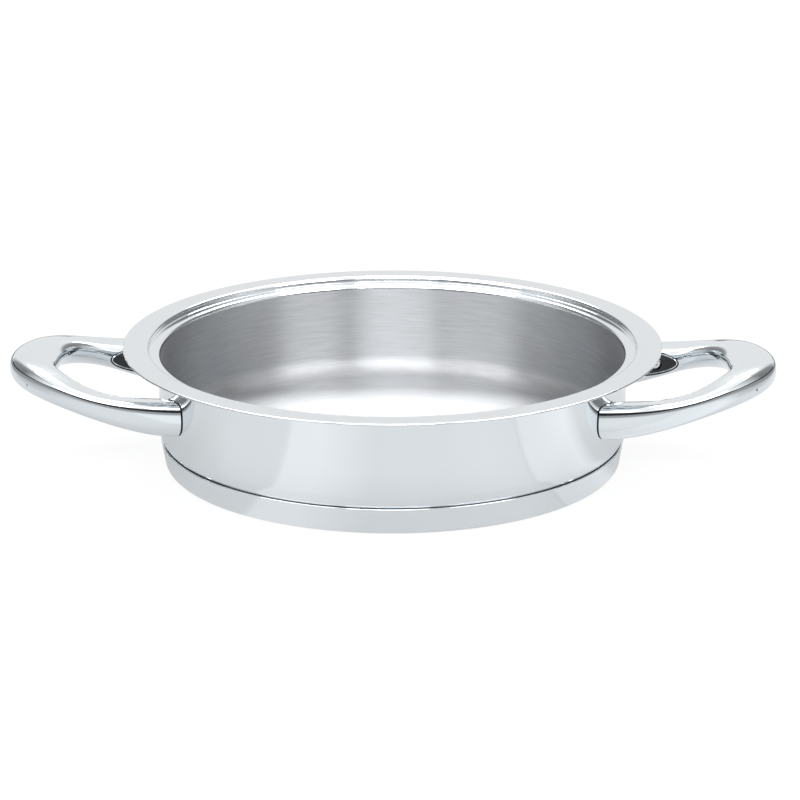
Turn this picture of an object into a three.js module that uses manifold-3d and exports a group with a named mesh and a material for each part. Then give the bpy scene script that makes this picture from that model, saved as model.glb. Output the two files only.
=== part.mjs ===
// Low two-handled cooking pot: a drawn steel vessel with a lid seat, a capsule base with an aluminium core,
// and two hollow loop handles, each held by two screws through heat-resistant plugs.
// Millimetres, +Z up. The origin is the centre of the base's underside, and the handles lie along X.

import * as THREE from 'three';
import { mergeVertices } from 'three/addons/utils/BufferGeometryUtils.js';
import loadManifold from 'manifold-3d';

const { degToRad, lerp, clamp, smoothstep } = THREE.MathUtils;

// Vessel
const WALL_RADIUS = 114.6; // inside of the side wall
const SHEET = 1.0; // thickness of the drawn steel
const RIM_HEIGHT = 60.6; // top of the flange above the table
const FLANGE_WIDTH = 12.6; // from the step of the lid seat to the outer edge
const FLANGE_BEND = 1.6; // radius where the flange turns down to the lid seat
const SEAT_WIDTH = 5.8; // from the side wall to the step
const SEAT_DEPTH = 3.2; // lid seat below the flange
const SEAT_CORNER = 0.8; // hollow radius between step and lid seat
const SEAT_NOSE = 2.0; // radius where the lid seat turns down to the wall
const FLOOR_HEIGHT = 9.0; // cooking surface above the table
const FLOOR_CORNER = 10.0; // radius between wall and floor

// Base
const BASE_HEIGHT = 13.1; // top edge of the capsule, the line round the pot
const BASE_SHEET = 0.9; // thickness of the capsule
const BASE_TAPER = 9.6; // degrees that the capsule's side leans in towards the table
const BASE_FILLET = 3.0; // radius round the underside
const CORE_RIM_DROP = 2.0; // top of the core's rim below the capsule's edge

// Handle loop, in plan
const HANDLE_REACH = 74.2; // from the pot's wall to the tip of the loop
const HANDLE_SPAN = 118.2; // across both legs
const LOOP_SETBACK = 14.6; // the loop is widest this far inside the wall
const LEG_WIDTH = 21.7;
const BOW_WIDTH = 24.0; // the broad part at the tip that the hand holds
const WINDOW_SQUARENESS = 2.98; // exponent of the finger gap's outline, 2 is an ellipse

// Handle loop, in height
const HANDLE_DROP = 25.6; // middle of the leg's root below the rim
const LEG_HEIGHT = 17.8;
const TOP_RISE = 11.2; // top of the bow above the top of the leg's root
const TOP_DELAY = 1.77; // how late along the loop that rise comes
const BOTTOM_RISE = 14.0; // underside of the bow above the underside of the leg's root
const BOTTOM_DELAY = 1.05;
const LEG_CROWN = 3.55; // a leg's top and underside lie this far in from its middle, so it bulges outwards
const LEG_ROLL = 1.8; // outer side of a leg's section above its inner side
const BOW_SWELL = 0.16; // share by which the bow is thicker outside and thinner inside
const SECTION_SQUARENESS = 2.3; // exponent of the section's outline
const UNDERSIDE_SQUARENESS = 3.2; // that of a leg's lower half
const LEG_EDGE = 4.6; // that of a leg's upper outer quarter, which turns over a ridge
const BOW_EDGE = 3.0; // and of the same quarter on the bow
const SHELL_WALL = 1.2; // thickness of the hollow loop

// Vent holes of the hollow loop
const VENT_DIAMETER = 1.0;
const VENT_ANGLE = 30.0; // degrees round the loop from its tip
const VENT_DIP = 5.0; // degrees below the loop's outer edge

// Insulators in the legs
const FIT = 0.3; // clearance between neighbouring pieces
const COLLAR = 0.6; // collar between the leg's end and the wall
const COLLAR_INSET = 0.3; // collar's edge inside the leg's outline
const BULLET_REACH = 28.6; // tip of the window on the leg's inner face, outside the wall
const BULLET_NOSE = 17.0; // length of the window's rounded end
const BULLET_HEIGHT = 12.0;
const BULLET_LIFT = 0.5; // middle of the window above the middle of the leg, at the root
const BULLET_SLOPE = 5.7; // degrees that the window, the bracket and the screw's place rise from the wall
const PAD_RECESS = 0.6; // face of the plug in that window below the leg's surface
const PLUG_OVERRUN = 2.5; // plug past the window's tip

// Bracket on the wall and the screw through it
const STRIP = 2.4; // thickness of the bracket
const STRIP_HEIGHT = 6.0;
const FOOT_LENGTH = 3.6; // foot of the bracket along the wall
const SCREW_FROM_WALL = 16.8; // screw's axis outside the wall
const TONGUE_PAST_SCREW = 6.0;
const CHEEK = 4.6; // plug left between washer and tongue
const WASHER = 0.8; // thickness
const WASHER_DIAMETER = 6.2;
const HEAD_DIAMETER = 5.4;
const HEAD_HEIGHT = 1.8;
const HEAD_BEVEL = 0.3;
const SCREW_DIAMETER = 4.0;
const SCREW_PAST_TONGUE = 1.0;
const SOCKET_DIAMETER = 3.0; // across the corners of the hexagon
const SOCKET_DEPTH = 1.2;

// Facets
const ROUND_STEPS = 60;
const LOOP_STEPS = 24;
const SECTION_SIDES = 18;
const CAVITY_SIDES = 12;
const SMALL_STEPS = 12;

// Places that follow from the dimensions above
const wallOuter = WALL_RADIUS + SHEET;
const stepRadius = WALL_RADIUS + SEAT_WIDTH;
const rimRadius = stepRadius + FLANGE_WIDTH;
const seatHeight = RIM_HEIGHT - SEAT_DEPTH;
const cornerCentre = new THREE.Vector2(WALL_RADIUS - FLOOR_CORNER, FLOOR_HEIGHT + FLOOR_CORNER);
const cornerOuter = FLOOR_CORNER + SHEET;
const loopCentre = wallOuter - LOOP_SETBACK;
const loopOuter = new THREE.Vector2(HANDLE_REACH + LOOP_SETBACK, HANDLE_SPAN / 2);
const loopInner = new THREE.Vector2(loopOuter.x - BOW_WIDTH, loopOuter.y - LEG_WIDTH);
const rootMiddleY = (loopOuter.y + loopInner.y) / 2;
const rootMiddleX = Math.sqrt(wallOuter ** 2 - rootMiddleY ** 2);
const rootHeight = RIM_HEIGHT - HANDLE_DROP;
const bowMiddleX = loopCentre + (loopOuter.x + loopInner.x) / 2;

const materials = {
  polished: new THREE.MeshStandardMaterial({ color: 0xdfe3e6, roughness: 0.08, metalness: 1 }),
  satin: new THREE.MeshStandardMaterial({ color: 0xc9cccf, roughness: 0.3, metalness: 1 }),
  aluminium: new THREE.MeshStandardMaterial({ color: 0xb8bbbe, roughness: 0.5, metalness: 1 }),
  phenolic: new THREE.MeshStandardMaterial({ color: 0x1b1c1f, roughness: 0.5, metalness: 0 }),
  fastener: new THREE.MeshStandardMaterial({ color: 0xb4b7ba, roughness: 0.25, metalness: 1 }),
};

const wasm = await loadManifold();
wasm.setup();

// Geometry helpers

// Arc of a profile, with angles in degrees from the radial direction and both ends included
function arc(centreX, centreY, radius, from, to, steps) {
  const points = [];
  for (let i = 0; i <= steps; i++) {
    const angle = degToRad(lerp(from, to, i / steps));
    points.push(new THREE.Vector2(centreX + radius * Math.cos(angle), centreY + radius * Math.sin(angle)));
  }
  return points;
}

// Body of revolution about Z from (radius, height) points that run anticlockwise
function revolve(profile, steps = ROUND_STEPS) {
  return new THREE.LatheGeometry(profile, steps).rotateX(Math.PI / 2);
}

// Closed skin through rings that have the same number of points, with both ends capped
function loft(rings) {
  const count = rings[0].length;
  const last = (rings.length - 1) * count;
  const index = [];
  for (let ring = 0; ring < last; ring += count) {
    for (let j = 0; j < count; j++) {
      const a = ring + j;
      const b = ring + ((j + 1) % count);
      index.push(a, a + count, b, b, a + count, b + count);
    }
  }
  for (let j = 1; j + 1 < count; j++) {
    index.push(0, j, j + 1);
    index.push(last, last + j + 1, last + j);
  }
  const geometry = new THREE.BufferGeometry().setFromPoints(rings.flat());
  geometry.setIndex(index);
  return geometry;
}

// Geometry to a solid that can be joined and cut
function solidFrom(geometry) {
  const bare = new THREE.BufferGeometry();
  bare.setAttribute('position', geometry.getAttribute('position'));
  bare.setIndex(geometry.index);
  const merged = mergeVertices(bare, 1e-4);
  const triangles = [];
  for (let i = 0; i < merged.index.count; i += 3) {
    const [a, b, c] = [0, 1, 2].map((k) => merged.index.getX(i + k));
    if (a !== b && b !== c && c !== a) triangles.push(a, b, c);
  }
  const mesh = new wasm.Mesh({
    numProp: 3,
    vertProperties: new Float32Array(merged.getAttribute('position').array),
    triVerts: new Uint32Array(triangles),
  });
  return new wasm.Manifold(mesh);
}

// Solid back to a geometry
function geometryFrom(solid) {
  const { vertProperties, triVerts } = solid.getMesh();
  const geometry = new THREE.BufferGeometry();
  geometry.setAttribute('position', new THREE.BufferAttribute(vertProperties, 3));
  geometry.setIndex(new THREE.BufferAttribute(triVerts, 1));
  geometry.computeVertexNormals();
  return geometry;
}

// Upright drum about the pot's axis, as tall as anything on the pot
function drum(radius) {
  const top = RIM_HEIGHT * 2;
  const profile = [[0, -top], [radius, -top], [radius, top], [0, top]];
  return solidFrom(revolve(profile.map(([x, y]) => new THREE.Vector2(x, y))));
}

// Round bar along Y from one place to another
function crossBar(x, z, radius, fromY, toY) {
  const bar = new THREE.CylinderGeometry(radius, radius, toY - fromY, SMALL_STEPS);
  bar.translate(x, (fromY + toY) / 2, z);
  return solidFrom(bar);
}

// Vessel and base

// One skin of the drawn sheet, from the flange's edge to the axis, at a depth below the inner skin
function vesselSkin(depth) {
  return [
    new THREE.Vector2(rimRadius - SHEET / 2, RIM_HEIGHT - depth),
    ...arc(stepRadius + FLANGE_BEND, RIM_HEIGHT - FLANGE_BEND, FLANGE_BEND - depth, 90, 180, 2),
    ...arc(stepRadius - SEAT_CORNER, seatHeight + SEAT_CORNER, SEAT_CORNER + depth, 0, -90, 2),
    ...arc(WALL_RADIUS + SEAT_NOSE, seatHeight - SEAT_NOSE, SEAT_NOSE - depth, 90, 180, 3),
    ...arc(cornerCentre.x, cornerCentre.y, FLOOR_CORNER + depth, 0, -90, 4),
    new THREE.Vector2(0, FLOOR_HEIGHT - depth),
  ];
}

function vesselGeometry() {
  const edge = arc(rimRadius - SHEET / 2, RIM_HEIGHT - SHEET / 2, SHEET / 2, -90, 90, 4).slice(1, -1);
  return revolve([...vesselSkin(SHEET).reverse(), ...edge, ...vesselSkin(0)]);
}

// Outer radius of the vessel's bottom corner at a height
function cornerRadiusAt(height, clearance) {
  const below = cornerCentre.y - height;
  return cornerCentre.x + Math.sqrt((cornerOuter + clearance) ** 2 - below ** 2);
}

// The capsule's side passes outside the vessel at its top edge, and leans in to the fillet
const capsuleTop = cornerRadiusAt(BASE_HEIGHT, FIT) + BASE_SHEET / Math.cos(degToRad(BASE_TAPER));
const capsuleLean = Math.tan(degToRad(BASE_TAPER));
const filletSide = new THREE.Vector2(Math.cos(degToRad(BASE_TAPER)), -Math.sin(degToRad(BASE_TAPER)));
const filletTop = BASE_FILLET * (1 + filletSide.y);
const footRadius = capsuleTop - (BASE_HEIGHT - filletTop) * capsuleLean - BASE_FILLET * filletSide.x;

// Radius of the capsule's side at a height, at a depth below its outer skin
function capsuleRadiusAt(height, depth) {
  return capsuleTop - (BASE_HEIGHT - height) * capsuleLean - depth / filletSide.x;
}

// One skin of the capsule, from the axis to its top edge
function capsuleSkin(depth) {
  return [
    new THREE.Vector2(0, depth),
    ...arc(footRadius, BASE_FILLET, BASE_FILLET - depth, -90, -BASE_TAPER, 4),
    new THREE.Vector2(capsuleRadiusAt(BASE_HEIGHT, depth), BASE_HEIGHT),
  ];
}

function capsuleGeometry() {
  return revolve([...capsuleSkin(0), ...capsuleSkin(BASE_SHEET).reverse()]);
}

// The core rests on the capsule and carries the vessel's floor, with its rim drawn up round the corner
function coreGeometry() {
  const rimTop = BASE_HEIGHT - CORE_RIM_DROP;
  const side = BASE_SHEET + FIT;
  const hollow = cornerOuter + FIT;
  const floorEnd = -THREE.MathUtils.radToDeg(Math.asin(cornerOuter / hollow));
  const rimEnd = -THREE.MathUtils.radToDeg(Math.asin((cornerCentre.y - rimTop) / hollow));
  return revolve([
    new THREE.Vector2(0, BASE_SHEET),
    new THREE.Vector2(footRadius - FIT, BASE_SHEET),
    new THREE.Vector2(capsuleRadiusAt(BASE_FILLET, side), BASE_FILLET),
    new THREE.Vector2(capsuleRadiusAt(rimTop, side), rimTop),
    ...arc(cornerCentre.x, cornerCentre.y, hollow, rimEnd, floorEnd, 4),
    new THREE.Vector2(0, FLOOR_HEIGHT - SHEET),
  ]);
}

// Handle loop

// Signed power that turns a circle's sine or cosine into that of a squarer oval
function squared(value, exponent) {
  return Math.sign(value) * Math.abs(value) ** (2 / exponent);
}

// Plan of the loop at an angle from its tip: its middle, and the direction and half length across it
function loopPlan(degrees) {
  const c = Math.cos(degToRad(degrees));
  const s = Math.sin(degToRad(degrees));
  const outer = new THREE.Vector2(loopCentre + loopOuter.x * c, loopOuter.y * s);
  const inner = new THREE.Vector2(
    loopCentre + loopInner.x * squared(c, WINDOW_SQUARENESS),
    loopInner.y * squared(s, WINDOW_SQUARENESS),
  );
  const across = outer.clone().sub(inner);
  const middle = outer.clone().add(inner).multiplyScalar(0.5);
  return { middle, half: across.length() / 2, across: across.normalize() };
}

// Share of the way from the leg's root to the bow
function shareAt(x) {
  return clamp((x - rootMiddleX) / (bowMiddleX - rootMiddleX), 0, 1);
}

// Middle height and half thickness of the loop, between its top line and its bottom line
function loopHeights(x) {
  const share = shareAt(x);
  const top = rootHeight + LEG_HEIGHT / 2 + TOP_RISE * smoothstep(share ** TOP_DELAY, 0, 1);
  const bottom = rootHeight - LEG_HEIGHT / 2 + BOTTOM_RISE * smoothstep(share ** BOTTOM_DELAY, 0, 1);
  return { middle: (top + bottom) / 2, half: (top - bottom) / 2 };
}

// Exponent of the section's outline in the quarter that a direction lies in
function sectionSquareness(out, up, bow) {
  if (up < 0) return lerp(UNDERSIDE_SQUARENESS, SECTION_SQUARENESS, bow);
  if (out > 0) return lerp(LEG_EDGE, BOW_EDGE, bow);
  return SECTION_SQUARENESS;
}

// Point on the loop's section: ring angle 0 is its outer edge and 90 its top
function loopPoint(degrees, ringDegrees, inset) {
  const plan = loopPlan(degrees);
  const bow = smoothstep(shareAt(plan.middle.x), 0, 1);
  const c = Math.cos(degToRad(ringDegrees));
  const s = Math.sin(degToRad(ringDegrees));
  const squareness = sectionSquareness(c, s, bow);
  const out = squared(c, squareness);
  const up = squared(s, squareness);
  const { middle, half } = loopHeights(plan.middle.x);
  const rise = (half - inset) * up * (1 + BOW_SWELL * bow * out);
  const crown = LEG_CROWN * (1 - bow) * up ** 2;
  const roll = (LEG_ROLL / 2) * (1 - bow) * out;
  const place = plan.middle.clone().addScaledVector(plan.across, (plan.half - inset) * out - crown);
  return new THREE.Vector3(place.x, place.y, middle + rise + roll);
}

// The loop as a solid bar, inset below its outer surface, run on past the wall at both roots
function loopBar(inset, sides) {
  const rings = [];
  for (let i = 0; i <= LOOP_STEPS; i++) {
    const degrees = lerp(-90, 90, i / LOOP_STEPS);
    const ring = [];
    for (let j = 0; j < sides; j++) {
      ring.push(loopPoint(degrees, (360 * j) / sides, inset));
    }
    rings.push(ring);
  }
  const intoPot = new THREE.Vector3(-LOOP_SETBACK, 0, 0);
  const rootRing = (ring) => ring.map((point) => point.clone().add(intoPot));
  return solidFrom(loft([rootRing(rings[0]), ...rings, rootRing(rings[LOOP_STEPS])]));
}

// Middle of the leg, between the loop's two outlines
function legMiddleYAt(x) {
  const outerY = loopOuter.y * Math.sqrt(1 - ((x - loopCentre) / loopOuter.x) ** 2);
  const share = (x - loopCentre) / loopInner.x;
  const innerY = loopInner.y * (1 - share ** WINDOW_SQUARENESS) ** (1 / WINDOW_SQUARENESS);
  return (outerY + innerY) / 2;
}

const screwX = wallOuter + SCREW_FROM_WALL;
const tongueY = legMiddleYAt(screwX);

// Height of the line that the window, the bracket and the screw lie on
const bulletRise = Math.tan(degToRad(BULLET_SLOPE));
const bulletHeightAt = (x) => rootHeight + BULLET_LIFT + bulletRise * (x - rootMiddleX);

// Lifts a shape drawn about height zero onto that line, with its ends still upright
const ontoBulletLine = new THREE.Matrix4()
  .makeShear(0, bulletRise, 0, 0, 0, 0)
  .setPosition(0, 0, bulletHeightAt(0));

// Bullet-shaped bar through the inner face of the leg on one side of X, narrowed by a clearance
function bulletBar(side, clearance) {
  const half = BULLET_HEIGHT / 2 - clearance;
  const noseX = wallOuter + BULLET_REACH - BULLET_NOSE;
  const outline = new THREE.Shape();
  outline.moveTo(0, -half);
  outline.lineTo(noseX, -half);
  outline.absellipse(noseX, 0, BULLET_NOSE - clearance, half, -Math.PI / 2, Math.PI / 2, false);
  outline.lineTo(0, half);
  const bar = new THREE.ExtrudeGeometry(outline, { depth: tongueY, bevelEnabled: false, curveSegments: 5 });
  bar.translate(0, 0, side > 0 ? -tongueY : 0);
  bar.rotateX(Math.PI / 2).applyMatrix4(ontoBulletLine);
  return solidFrom(bar);
}

// Vent hole from inside the bow through its lower outer face, on either side of the tip
function ventBar(side) {
  const mouth = loopPoint(side * VENT_ANGLE, -VENT_DIP, 0);
  const plan = loopPlan(side * VENT_ANGLE);
  const middle = new THREE.Vector3(plan.middle.x, plan.middle.y, loopHeights(plan.middle.x).middle);
  const length = 2 * middle.distanceTo(mouth);
  const bar = new THREE.CylinderGeometry(VENT_DIAMETER / 2, VENT_DIAMETER / 2, length, SMALL_STEPS / 2);
  const along = mouth.clone().sub(middle).normalize();
  bar.applyQuaternion(new THREE.Quaternion().setFromUnitVectors(new THREE.Vector3(0, 1, 0), along));
  bar.translate(mouth.x, mouth.y, mouth.z);
  const outside = along.multiplyScalar(length / 4);
  bar.translate(outside.x, outside.y, outside.z);
  return solidFrom(bar);
}

function shellGeometry() {
  const shell = loopBar(0, SECTION_SIDES)
    .subtract(loopBar(SHELL_WALL, CAVITY_SIDES))
    .subtract(drum(wallOuter + COLLAR + 2 * FIT))
    .subtract(bulletBar(1, 0))
    .subtract(bulletBar(-1, 0))
    .subtract(ventBar(1))
    .subtract(ventBar(-1));
  return geometryFrom(shell);
}

// Parts in the rear leg, at positive Y

const screwZ = bulletHeightAt(screwX);
const washerSeatY = tongueY - STRIP / 2 - FIT - CHEEK;
const headSeatY = washerSeatY - WASHER;
const screwEndY = tongueY + STRIP / 2 + SCREW_PAST_TONGUE;

// Bent strip: a foot along the wall and a tongue out into the leg, all its faces moved out by a clearance
function bracketSolid(clearance) {
  const near = wallOuter + FIT - clearance;
  const far = wallOuter + FIT + STRIP + clearance;
  const tongueIn = tongueY - STRIP / 2 - clearance;
  const tongueOut = tongueY + STRIP / 2 + clearance;
  const tongueEnd = screwX + TONGUE_PAST_SCREW + clearance;
  const footEnd = Math.asin(tongueOut / near) + (FOOT_LENGTH + clearance) / near;
  const height = STRIP_HEIGHT + 2 * clearance;
  const outline = new THREE.Shape();
  outline.absarc(0, 0, near, Math.asin(tongueIn / near), footEnd, false);
  outline.absarc(0, 0, far, footEnd, Math.asin(tongueOut / far), true);
  outline.lineTo(tongueEnd, tongueOut);
  outline.lineTo(tongueEnd, tongueIn);
  const strip = new THREE.ExtrudeGeometry(outline, { depth: height, bevelEnabled: false, curveSegments: 6 });
  strip.translate(0, 0, -height / 2).applyMatrix4(ontoBulletLine);
  return solidFrom(strip);
}

function bracketGeometry() {
  const hole = crossBar(screwX, screwZ, SCREW_DIAMETER / 2 + FIT, 0, loopOuter.y);
  return geometryFrom(bracketSolid(0).subtract(hole));
}

// The plug fills the leg's end, shows as a pad in the window, and ends in a collar at the wall
function insulatorGeometry() {
  const length = wallOuter + BULLET_REACH + PLUG_OVERRUN;
  const legEnd = new THREE.BoxGeometry(length, HANDLE_SPAN, RIM_HEIGHT);
  const legSpace = solidFrom(legEnd.translate(length / 2, HANDLE_SPAN / 2, RIM_HEIGHT / 2));
  const plug = loopBar(SHELL_WALL + 2 * FIT, CAVITY_SIDES).intersect(legSpace);
  const pad = loopBar(PAD_RECESS, CAVITY_SIDES).intersect(bulletBar(1, FIT));
  const collar = loopBar(COLLAR_INSET, CAVITY_SIDES)
    .intersect(legSpace)
    .intersect(drum(wallOuter + FIT + COLLAR));
  const insulator = plug
    .add(pad)
    .add(collar)
    .subtract(drum(wallOuter + FIT))
    .subtract(bracketSolid(FIT))
    .subtract(crossBar(screwX, screwZ, SCREW_DIAMETER / 2 + FIT, 0, screwEndY + FIT))
    .subtract(crossBar(screwX, screwZ, WASHER_DIAMETER / 2 + FIT, 0, washerSeatY));
  return geometryFrom(insulator);
}

// Socket screw with its seat at the origin and its head along +Z
function screwGeometry() {
  const shank = SCREW_DIAMETER / 2;
  const head = HEAD_DIAMETER / 2;
  const tip = headSeatY - screwEndY;
  const profile = [[0, tip], [shank, tip], [shank, 0], [head, 0], [head, HEAD_HEIGHT - HEAD_BEVEL],
    [head - HEAD_BEVEL, HEAD_HEIGHT], [0, HEAD_HEIGHT]];
  const body = solidFrom(revolve(profile.map(([x, y]) => new THREE.Vector2(x, y)), SMALL_STEPS));
  const socket = new THREE.CylinderGeometry(SOCKET_DIAMETER / 2, SOCKET_DIAMETER / 2, 2 * SOCKET_DEPTH, 6);
  socket.rotateX(Math.PI / 2).translate(0, 0, HEAD_HEIGHT);
  return geometryFrom(body.subtract(solidFrom(socket)));
}

// Flat ring with the head's side at the origin and its own seat below
function washerGeometry() {
  const bore = SCREW_DIAMETER / 2 + FIT;
  const edge = WASHER_DIAMETER / 2;
  const profile = [[bore, -WASHER], [edge, -WASHER], [edge, 0], [bore, 0], [bore, -WASHER]];
  return revolve(profile.map(([x, y]) => new THREE.Vector2(x, y)), SMALL_STEPS);
}

// Assembly

function piece(name, geometry, material) {
  const mesh = new THREE.Mesh(geometry, material);
  mesh.name = name;
  return mesh;
}

const shapes = {
  shell: shellGeometry(),
  insulator: insulatorGeometry(),
  bracket: bracketGeometry(),
  screw: screwGeometry(),
  washer: washerGeometry(),
};

// Everything inside one leg, mirrored to the front where side is -1
function legParts(name, side) {
  const group = new THREE.Group();
  const screw = piece(`${name}_screw`, shapes.screw, materials.fastener);
  const washer = piece(`${name}_washer`, shapes.washer, materials.fastener);
  for (const fastener of [screw, washer]) {
    fastener.position.set(screwX, headSeatY, screwZ);
    fastener.rotation.x = Math.PI / 2;
  }
  group.add(piece(`${name}_insulator`, shapes.insulator, materials.phenolic));
  group.add(piece(`${name}_bracket`, shapes.bracket, materials.satin));
  group.add(screw, washer);
  group.scale.y = side;
  return group;
}

// One loop with its two legs, turned about the pot's axis
function handle(name, turn, legNames) {
  const group = new THREE.Group();
  group.add(piece(`${name}_handle_shell`, shapes.shell, materials.polished));
  group.add(legParts(`${name}_${legNames[0]}`, -1));
  group.add(legParts(`${name}_${legNames[1]}`, 1));
  group.rotation.z = turn;
  return group;
}

const pot = new THREE.Group();
pot.add(piece('vessel', vesselGeometry(), materials.polished));
pot.add(piece('heat_spreader', coreGeometry(), materials.aluminium));
pot.add(piece('base_capsule', capsuleGeometry(), materials.polished));
pot.add(handle('right', 0, ['front', 'rear']));
pot.add(handle('left', Math.PI, ['rear', 'front']));

export default pot;
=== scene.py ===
"""Low two-handled cooking pot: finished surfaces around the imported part, one operator a piece.

All lengths are in metres in the part's own frame: the origin is the centre of the base's underside,
the handles lie along X and Z is up.
"""

import math

import bpy
import numpy as np
from bpy.props import FloatProperty, FloatVectorProperty, IntProperty, PointerProperty
from bpy.types import NodeSocket, Operator, Panel, PropertyGroup
from mathutils import Matrix, Vector
from mathutils.bvhtree import BVHTree
from mathutils.interpolate import poly_3d_calc


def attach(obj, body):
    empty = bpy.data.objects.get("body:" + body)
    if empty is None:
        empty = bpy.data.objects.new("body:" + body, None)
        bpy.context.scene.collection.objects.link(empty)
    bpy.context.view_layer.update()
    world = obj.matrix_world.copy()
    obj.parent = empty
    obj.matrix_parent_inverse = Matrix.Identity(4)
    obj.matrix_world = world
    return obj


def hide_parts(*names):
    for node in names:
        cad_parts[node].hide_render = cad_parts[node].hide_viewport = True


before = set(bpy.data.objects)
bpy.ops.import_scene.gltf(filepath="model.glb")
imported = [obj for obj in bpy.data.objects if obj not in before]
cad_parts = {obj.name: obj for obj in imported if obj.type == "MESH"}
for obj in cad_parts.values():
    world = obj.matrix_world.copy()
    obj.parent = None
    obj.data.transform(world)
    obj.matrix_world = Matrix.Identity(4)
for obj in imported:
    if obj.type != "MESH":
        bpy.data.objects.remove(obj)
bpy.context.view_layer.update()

bl_info = {
    "name": "Two-handled cooking pot",
    "version": (1, 0, 0),
    "blender": (4, 5, 0),
    "location": "3D View > Sidebar > Pot",
    "description": "Builds a low polished pot with loop handles over its packed frame",
    "category": "Object",
}

MM = 0.001
LEGS = ("right_front", "right_rear", "left_front", "left_rear")

# Turned profiles
WELD = 1e-6
ZONE_EDGE = 0.25
SUPPORT = 0.15 * MM
RIM_ROUNDING = 0.49
VESSEL_ARC_STEPS = 14
BASE_ARC_STEPS = 12
SCREW_ARC_STEPS = 6
WASHER_ARC_STEPS = 4

# Loop handle; a run of 1 along it is the end of its curve
PLAN_STEPS = 4000
RING_STEPS = 40001
RING_RUN = 0.95
RUN_RANGE = (0.3, 1.25)
RUN_HALVINGS = 50
SKIN_REACH = 0.05 * MM
SKIN_FACING = 0.8
FACE_RUNS = (1.2, 0.3)
FACE_ROWS = 90
FACE_SIDES = 96

# Windows, vents and trim rings
WINDOW_STEPS = 49
WINDOW_BACK = 0.06
OUTLINE_STEPS = 61
VENT_SIDES = 24
VENT_SHARES = (0.5, 1.3)
BEAD_SIDES = 12
BEAD_START = 3 * MM

# Inserts
PLUG_SIDES = 48
PLUG_ROWS = 25
PAD_BACK = 0.10
PAD_CLEAR = 0.2 * MM
PAD_BACK_TRIES = 6
PAD_BACK_STEPS = 14
PAD_DEPTH = 4.5 * MM
PAD_EDGE_TURNS = (30, 60, 90)
PAD_SHARES = (0.9, 0.8, 0.65, 0.5, 0.35, 0.2, 0.08)
BORE_SIDES = 48
HOLE_SIDES = 32
INSERT_CREASE = 35

# Screws and washers; a washer's socket is a speck that lies clear of it
FASTENER_CREASE = 40
FASTENER_SEGMENTS = 48
SCREW_TIP_ROUNDING = 0.3 * MM
SCREW_NECK_ROUNDING = 0.05 * MM
SCREW_SEAT_ROUNDING = 0.1 * MM
WASHER_ROUNDING = 0.15 * MM
NO_SOCKET = {"Socket": 0.1 * MM, "Socket depth": 0.1 * MM, "Socket top": 20 * MM}

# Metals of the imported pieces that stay
BRACKET_STEEL = (0.62, 0.63, 0.64)
CORE_ALUMINIUM = (0.72, 0.73, 0.74)


# Settings

def length(title, millimetres, description):
    """Length property with its default given in millimetres."""
    return FloatProperty(
        name=title, description=description, default=millimetres * MM, precision=5, unit="LENGTH"
    )


def angle(title, degrees, description):
    """Angle property with its default given in degrees."""
    return FloatProperty(
        name=title, description=description, default=math.radians(degrees), unit="ROTATION"
    )


def number(title, value, description):
    """Plain number property."""
    return FloatProperty(name=title, description=description, default=value, precision=3)


def count(title, value, description):
    """Whole number property."""
    return IntProperty(name=title, description=description, default=value, min=1)


def colour(title, value, description):
    """Linear colour property."""
    return FloatVectorProperty(
        name=title, description=description, default=value, subtype="COLOR", min=0, max=1
    )


class PotVesselSettings(PropertyGroup):
    """Drawn steel bowl with its flange and lid seat."""

    wall_radius: length("Wall radius", 114.6, "Inside of the side wall")
    sheet: length("Sheet", 1.0, "Thickness of the drawn steel")
    rim_height: length("Rim height", 60.6, "Top of the flange above the table")
    flange_width: length("Flange width", 12.6, "From the step of the lid seat to the outer edge")
    flange_bend: length("Flange bend", 1.6, "Radius where the flange turns down to the lid seat")
    seat_width: length("Seat width", 5.8, "From the side wall to the step")
    seat_depth: length("Seat depth", 3.2, "Lid seat below the flange")
    seat_corner: length("Seat corner", 0.8, "Hollow radius between step and lid seat")
    seat_nose: length("Seat nose", 2.0, "Radius where the lid seat turns down to the wall")
    floor_height: length("Floor height", 9.0, "Cooking surface above the table")
    floor_corner: length("Floor corner", 10.0, "Radius between wall and floor")
    segments: count("Segments", 192, "Steps round the pot")
    steel: colour("Polished steel", (0.82, 0.85, 0.87), "Colour of the polished outside")
    satin: colour("Satin steel", (0.52, 0.53, 0.545), "Colour of the brushed inside")


class PotBaseSettings(PropertyGroup):
    """Steel capsule round the core of the base."""

    height: length("Height", 13.1, "Top edge of the capsule")
    sheet: length("Sheet", 0.9, "Thickness of the capsule")
    taper: angle("Taper", 9.6, "Lean of the side towards the table")
    fillet: length("Fillet", 3.0, "Radius round the underside")
    gap: length("Gap", 0.3, "Clearance to the bowl at the top edge")
    edge: length("Edge", 0.25, "Rounding of the top edge")


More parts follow.
